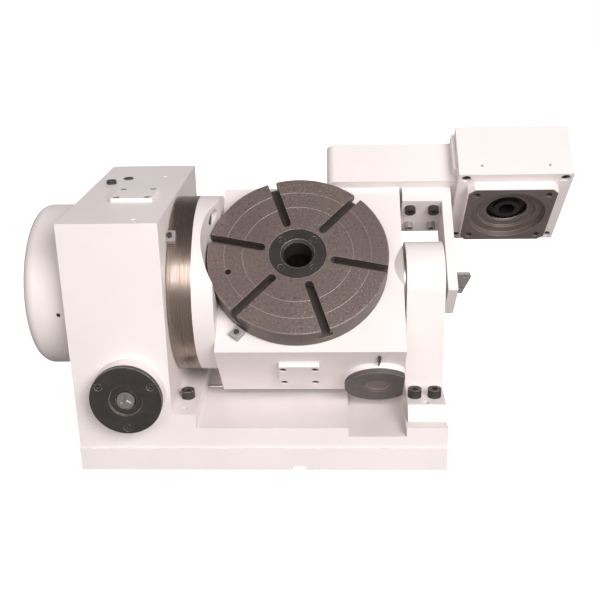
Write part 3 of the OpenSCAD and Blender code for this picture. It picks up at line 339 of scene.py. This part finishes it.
def make_paint(name, colour, shade, wear_colour, wear=0.45, roughness=0.42):
    """Satin paint on a filled casting, a little uneven, rubbed along its edges."""
    material, tree, shader, where = start_material(name, roughness)
    tone = place_group(tree, MOTTLE, {"Vector": where, "Scale": 6.0})
    rubbed = place_group(tree, EDGE_WEAR, {"Vector": where, "Scale": 70.0, "Amount": wear})["Mask"]
    base = tint(tree, colour, tone["Broad"], 0.75, shade)
    base = tint(tree, base, tone["Fine"], 0.1, shade)
    base = tint(tree, base, rubbed, 0.6, wear_colour)
    height = place_group(tree, PEEL, {"Vector": where, "Scale": 320.0})["Height"]
    tree.links.new(base, shader.inputs["Base Color"])
    tree.links.new(spread(tree, tone["Fine"], 0, 1, roughness - 0.05, roughness + 0.1),
                   shader.inputs["Roughness"])
    bump(tree, shader, height, 0.25 * MM, 0.5)
    return material


def make_blacked(name, colour, bright, wear=0.55, roughness=0.4):
    """Blacked steel that shows its metal where hands and keys have rubbed it."""
    material, tree, shader, where = start_material(name, roughness, 0.45)
    tone = place_group(tree, MOTTLE, {"Vector": where, "Scale": 45.0})
    rubbed = place_group(tree, EDGE_WEAR, {"Vector": where, "Scale": 260.0, "Amount": wear})["Mask"]
    base = tint(tree, colour, tone["Broad"], 0.5, lighter(colour, 1.7))
    base = tint(tree, base, rubbed, 0.75, bright)
    tree.links.new(base, shader.inputs["Base Color"])
    tree.links.new(spread(tree, tone["Fine"], 0, 1, roughness - 0.08, roughness + 0.14),
                   shader.inputs["Roughness"])
    bump(tree, shader, tone["Fine"], 0.04 * MM, 0.6)
    return material


def turned_metal(tree, where, local, colours, pitch, lines, wear):
    """Colour and height of metal cut on a lathe, stained here and there, with rubbed edges."""
    colour, dark, bright = colours
    tone = place_group(tree, MOTTLE, {"Vector": where, "Scale": 16.0})
    turned = place_group(tree, TURNED, {"Vector": local, "Pitch": pitch})
    rubbed = place_group(tree, EDGE_WEAR, {"Vector": where, "Scale": 200.0, "Amount": 0.7})["Mask"]
    base = tint(tree, colour, turned["Lines"], lines, dark)
    base = tint(tree, base, tone["Broad"], 0.35, dark)
    return tint(tree, base, rubbed, wear, bright), turned


def make_machined(name, colour, dark, matrix, pitch, roughness=0.32, lines=0.5):
    """Bare metal turned or ground about the part's own axis."""
    material, tree, shader, where = start_material(name, roughness, 0.9)
    colours = colour, dark, (0.8, 0.76, 0.72, 1)
    base, turned = turned_metal(tree, where, turned_to(tree, where, matrix), colours,
                                pitch, lines, 0.5)
    tree.links.new(base, shader.inputs["Base Color"])
    tree.links.new(spread(tree, turned["Lines"], 0, 1, roughness - 0.08, roughness + 0.12),
                   shader.inputs["Roughness"])
    bump(tree, shader, turned["Height"], 0.05 * MM, 0.5)
    return material


def make_table_iron(name):
    """Ground face of the table: brown-grey, flecked in patches, with bright rubbed edges."""
    material, tree, shader, where = start_material(name, 0.42, 0.55)
    local = turned_to(tree, where, TO_CRADLE)
    tone = place_group(tree, MOTTLE, {"Vector": local, "Scale": 14.0})
    patches = noise(tree, local, 11.0, 2.0, 0.5)
    specks = place_group(tree, SPECKLE, {"Vector": local, "Scale": 400.0, "Density": 0.64})
    turned = place_group(tree, TURNED, {"Vector": local, "Pitch": 700.0})
    rubbed = place_group(tree, EDGE_WEAR, {"Vector": local, "Scale": 120.0, "Amount": 1.0})["Mask"]
    height = add(tree, "SeparateXYZ", {0: local}).outputs[2]
    on_face = spread(tree, height, TABLE_TOP - 0.7 * MM, TABLE_TOP - 0.2 * MM)
    face = blend(tree, tone["Broad"], (0.245, 0.185, 0.19, 1), (0.275, 0.215, 0.185, 1))
    rim = blend(tree, tone["Broad"], (0.13, 0.108, 0.095, 1), (0.17, 0.142, 0.128, 1))
    base = blend(tree, on_face, rim, face)
    base = tint(tree, base, specks["Pits"], 0.7, (0.085, 0.062, 0.06, 1))
    flecked = calc(tree, "MULTIPLY", on_face, spread(tree, patches, 0.4, 0.6, 0.2, 0.7))
    base = tint(tree, base, specks["Flecks"], flecked, (0.58, 0.5, 0.47, 1))
    base = tint(tree, base, turned["Lines"], 0.2, (0.1, 0.08, 0.072, 1))
    base = tint(tree, base, rubbed, 0.8, (0.72, 0.66, 0.61, 1))
    tree.links.new(base, shader.inputs["Base Color"])
    tree.links.new(spread(tree, specks["Flecks"], 0, 1, 0.46, 0.3), shader.inputs["Roughness"])
    depth = calc(tree, "SUBTRACT", specks["Flecks"], specks["Pits"])
    bump(tree, shader, depth, 0.08 * MM, 0.7)
    return material


def make_flange(name):
    """Bare turned face of the motor flange, with the machine's paint on its four sides."""
    material, tree, shader, where = start_material(name, 0.38)
    local = turned_to(tree, where, ALONG_MOTOR)
    colours = (0.25, 0.205, 0.19, 1), (0.09, 0.072, 0.066, 1), (0.7, 0.66, 0.62, 1)
    bare, turned = turned_metal(tree, where, local, colours, 900.0, 0.5, 0.6)
    parts = add(tree, "SeparateXYZ", {0: local}).outputs
    across, along = (calc(tree, "ABSOLUTE", parts[axis]) for axis in (0, 1))
    # Distance out to the flange's outline, which is a square with its corners cut
    corner = calc(tree, "MULTIPLY", calc(tree, "ADD", across, along), FLANGE_HALF / FLANGE_CORNER)
    reach = calc(tree, "MAXIMUM", calc(tree, "MAXIMUM", across, along), corner)
    painted = spread(tree, reach, FLANGE_HALF - 1.1 * MM, FLANGE_HALF - 0.7 * MM)
    base = blend(tree, painted, bare, (0.84, 0.78, 0.77, 1))
    tree.links.new(base, shader.inputs["Base Color"])
    tree.links.new(calc(tree, "MULTIPLY", calc(tree, "SUBTRACT", 1.0, painted), 0.4),
                   shader.inputs["Metallic"])
    bump(tree, shader, turned["Height"], 0.05 * MM, 0.5)
    return material


def make_rubber(name, colour):
    """Matt rubber of the belt and the oil seal."""
    material, tree, shader, where = start_material(name, 0.7)
    tone = place_group(tree, MOTTLE, {"Vector": where, "Scale": 60.0})
    base = blend(tree, tone["Broad"], colour, lighter(colour, 1.6))
    tree.links.new(base, shader.inputs["Base Color"])
    bump(tree, shader, tone["Fine"], 0.08 * MM, 0.6)
    return material


ALONG_TILT = Matrix.Translation(TILT_POINT) @ Matrix.Rotation(pi / 2, 4, "Y")
FLANGE_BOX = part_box("motor_flange")
FLANGE_MIDDLE = (FLANGE_BOX[0] + FLANGE_BOX[1]) / 2
# Half the flange's side, the leg of its corner cut, and how far along both sides the cut lies
FLANGE_HALF = (FLANGE_BOX[1] - FLANGE_BOX[0]).x / 2
CORNER_CUT = 9 * MM
FLANGE_CORNER = 2 * FLANGE_HALF - CORNER_CUT
ALONG_MOTOR = Matrix.Translation(FLANGE_MIDDLE) @ TURN_TO_CRADLE @ Matrix.Rotation(-pi / 2, 4, "X")

FINISHES = {
    "white_paint": make_paint("white_paint", (0.86, 0.81, 0.8, 1), (0.8, 0.735, 0.725, 1),
                              (0.55, 0.5, 0.47, 1)),
    "grey_paint": make_paint("grey_paint", (0.36, 0.34, 0.33, 1), (0.27, 0.255, 0.25, 1),
                             (0.6, 0.58, 0.56, 1), wear=0.6),
    "cap_grey": make_paint("cap_grey", (0.11, 0.097, 0.095, 1), (0.078, 0.068, 0.067, 1),
                           (0.25, 0.22, 0.21, 1), wear=0.6, roughness=0.5),
    "brown_plug": make_paint("brown_plug", (0.2, 0.15, 0.14, 1), (0.13, 0.1, 0.092, 1),
                             (0.35, 0.28, 0.24, 1), wear=0.7, roughness=0.45),
    "black_oxide": make_blacked("black_oxide", (0.05, 0.046, 0.044, 1), (0.5, 0.46, 0.44, 1)),
    "scraped_iron": make_table_iron("scraped_iron"),
    "ring_steel": make_machined("ring_steel", (0.5, 0.42, 0.37, 1), (0.16, 0.115, 0.09, 1),
                                ALONG_TILT, 1400.0, 0.27, 0.75),
    "bright_steel": make_machined("bright_steel", (0.6, 0.58, 0.56, 1), (0.3, 0.27, 0.25, 1),
                                  ALONG_TILT, 900.0, 0.3, 0.35),
    "grey_iron": make_machined("grey_iron", (0.3, 0.28, 0.27, 1), (0.14, 0.12, 0.11, 1),
                               ALONG_TILT, 600.0, 0.42, 0.4),
    "dark_steel": make_machined("dark_steel", (0.07, 0.065, 0.06, 1), (0.035, 0.032, 0.03, 1),
                                ALONG_TILT, 700.0, 0.4, 0.4),
    "dark_flange": make_flange("dark_flange"),
    "bronze": make_machined("bronze", (0.62, 0.42, 0.2, 1), (0.36, 0.22, 0.1, 1),
                            ALONG_TILT, 900.0, 0.32, 0.4),
    "pulley_aluminium": make_machined("pulley_aluminium", (0.68, 0.68, 0.69, 1),
                                      (0.42, 0.42, 0.43, 1), ALONG_MOTOR, 900.0, 0.34, 0.4),
    "rubber": make_rubber("rubber", (0.02, 0.02, 0.02, 1)),
}

for name, part in nodes.items():
    part.data.materials.clear()
    part.data.materials.append(FINISHES[slot_of[name]])


# ---- pieces ----

MERGE_DISTANCE = 0.01 * MM
SHORTEST_EDGE = 0.05 * MM
FLAT_WITHIN = radians(0.6)
SHARP_FROM = radians(28)
SMOOTH_UP_TO = radians(35)
ROUNDING_STEPS = 2
LARGE_FACE_WEIGHT = 60


def rounded(node, radius):
    """Copy of a CAD node that stands for it, its sharp edges rounded and marked for wear."""
    bm = bmesh.new()
    bm.from_mesh(nodes[node].data)
    bmesh.ops.remove_doubles(bm, verts=bm.verts, dist=MERGE_DISTANCE)
    bmesh.ops.dissolve_limit(bm, angle_limit=FLAT_WITHIN, verts=bm.verts, edges=bm.edges)
    bmesh.ops.dissolve_degenerate(bm, dist=SHORTEST_EDGE, edges=bm.edges)
    mark = bm.faces.layers.float.new("edge")
    edges = [edge for edge in bm.edges
             if len(edge.link_faces) == 2 and edge.calc_face_angle() > SHARP_FROM]
    made = bmesh.ops.bevel(bm, geom=edges, offset=radius, offset_type="OFFSET", affect="EDGES",
                           segments=ROUNDING_STEPS, profile=0.5, material=-1, clamp_overlap=True,
                           miter_outer="SHARP", miter_inner="SHARP", loop_slide=True)
    for face in made["faces"]:
        if face.is_valid:
            face[mark] = 1.0
    for face in bm.faces:
        face.smooth = True
    bmesh.ops.triangulate(bm, faces=[face for face in bm.faces if len(face.verts) > 4])
    mesh = bpy.data.meshes.new(node + "_body")
    bm.to_mesh(mesh)
    bm.free()
    mesh.set_sharp_from_angle(angle=SMOOTH_UP_TO)
    mesh.materials.clear()
    mesh.materials.append(FINISHES[slot_of[node]])
    piece = bpy.data.objects.new(node + "_body", mesh)
    bpy.context.scene.collection.objects.link(piece)
    normals = piece.modifiers.new("face_normals", "WEIGHTED_NORMAL")
    normals.keep_sharp = True
    normals.weight = LARGE_FACE_WEIGHT
    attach(piece, body_of[node])
    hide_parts(node)


# Node and the radius of its rounded edges, in millimetres
ROUNDED_NODES = {
    "base_casting": 1.6, "headstock_housing": 1.6, "drum_cover": 0.8, "tailstock_housing": 1.6,
    "cradle_casting": 1.6, "belt_housing": 1.4, "belt_rear_cover": 0.8, "motor_box": 1.6,
    "motor_rear_cover": 0.8, "arm_bracket": 1.4, "inspection_cover": 0.7, "front_cover_plate": 0.7,
    "painted_plugs": 0.4, "faceplate": 0.8, "centre_sleeve": 0.5, "motor_flange": 0.8,
    "tilt_worm_cover": 0.7, "worm_boss_cap": 0.7, "worm_boss_plug": 0.4, "headstock_bolts": 0.5,
    "tailstock_bolts": 0.5, "port_plugs": 0.4, "arm_bracket_screws": 0.4,
    "arm_bracket_long_screws": 0.4, "motor_box_screws": 0.4, "index_block": 0.6,
    "vernier_block": 0.6, "hose_bracket": 0.5, "trunnion_nut": 0.4, "vent_nipple": 0.2,
    "base_small_screws": 0.3, "cradle_small_screws": 0.3, "sleeve_screws": 0.3,
    "cradle_flange_bolts": 0.4, "bottom_cover": 0.7,
}

for node, radius in ROUNDED_NODES.items():
    rounded(node, radius * MM)
